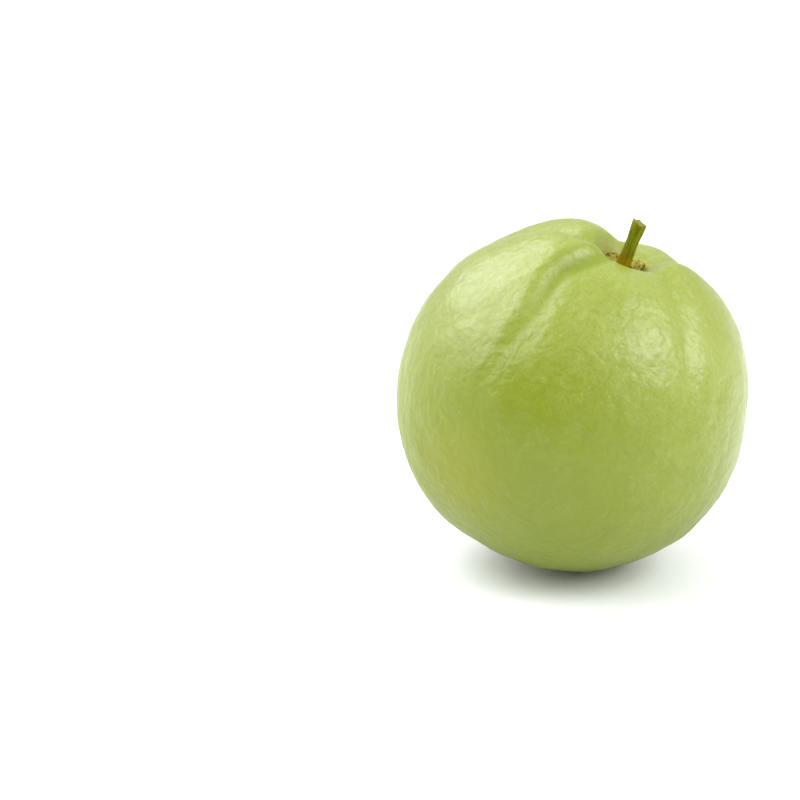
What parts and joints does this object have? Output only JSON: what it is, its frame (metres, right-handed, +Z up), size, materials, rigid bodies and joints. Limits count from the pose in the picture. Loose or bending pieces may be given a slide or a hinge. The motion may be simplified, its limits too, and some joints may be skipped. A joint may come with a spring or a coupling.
{
  "type": "whole guava fruit",
  "caption": "Whole round guava with lobed, light green skin, a short torn stalk in a corky hollow and a dried calyx underneath, resting on a small flat spot.",
  "frame": {"origin": "middle of the bottom of the fruit's bounding box, on the surface it rests on", "axes": "+Z up. The fruit's own axis, from the calyx to the stalk, leans from +Z by 20 degrees towards +X and by 7 degrees towards -Y"},
  "size_m": [0.0954, 0.0964, 0.0981],
  "materials": {
    "skin": "satin, waxy and finely wrinkled light green skin, with faint lighter and darker streaks",
    "bark": "matt olive green bark, browner at the foot, pale where it is torn",
    "cork": "rough corky scar, yellow-brown with dark torn edges",
    "husk": "dry, dull brown, wrinkled"
  },
  "bodies": {
    "root": {"fruit": "skin", "stalk": "bark", "stalk_collar": "cork", "calyx": "husk"}
  },
  "joints": []
}
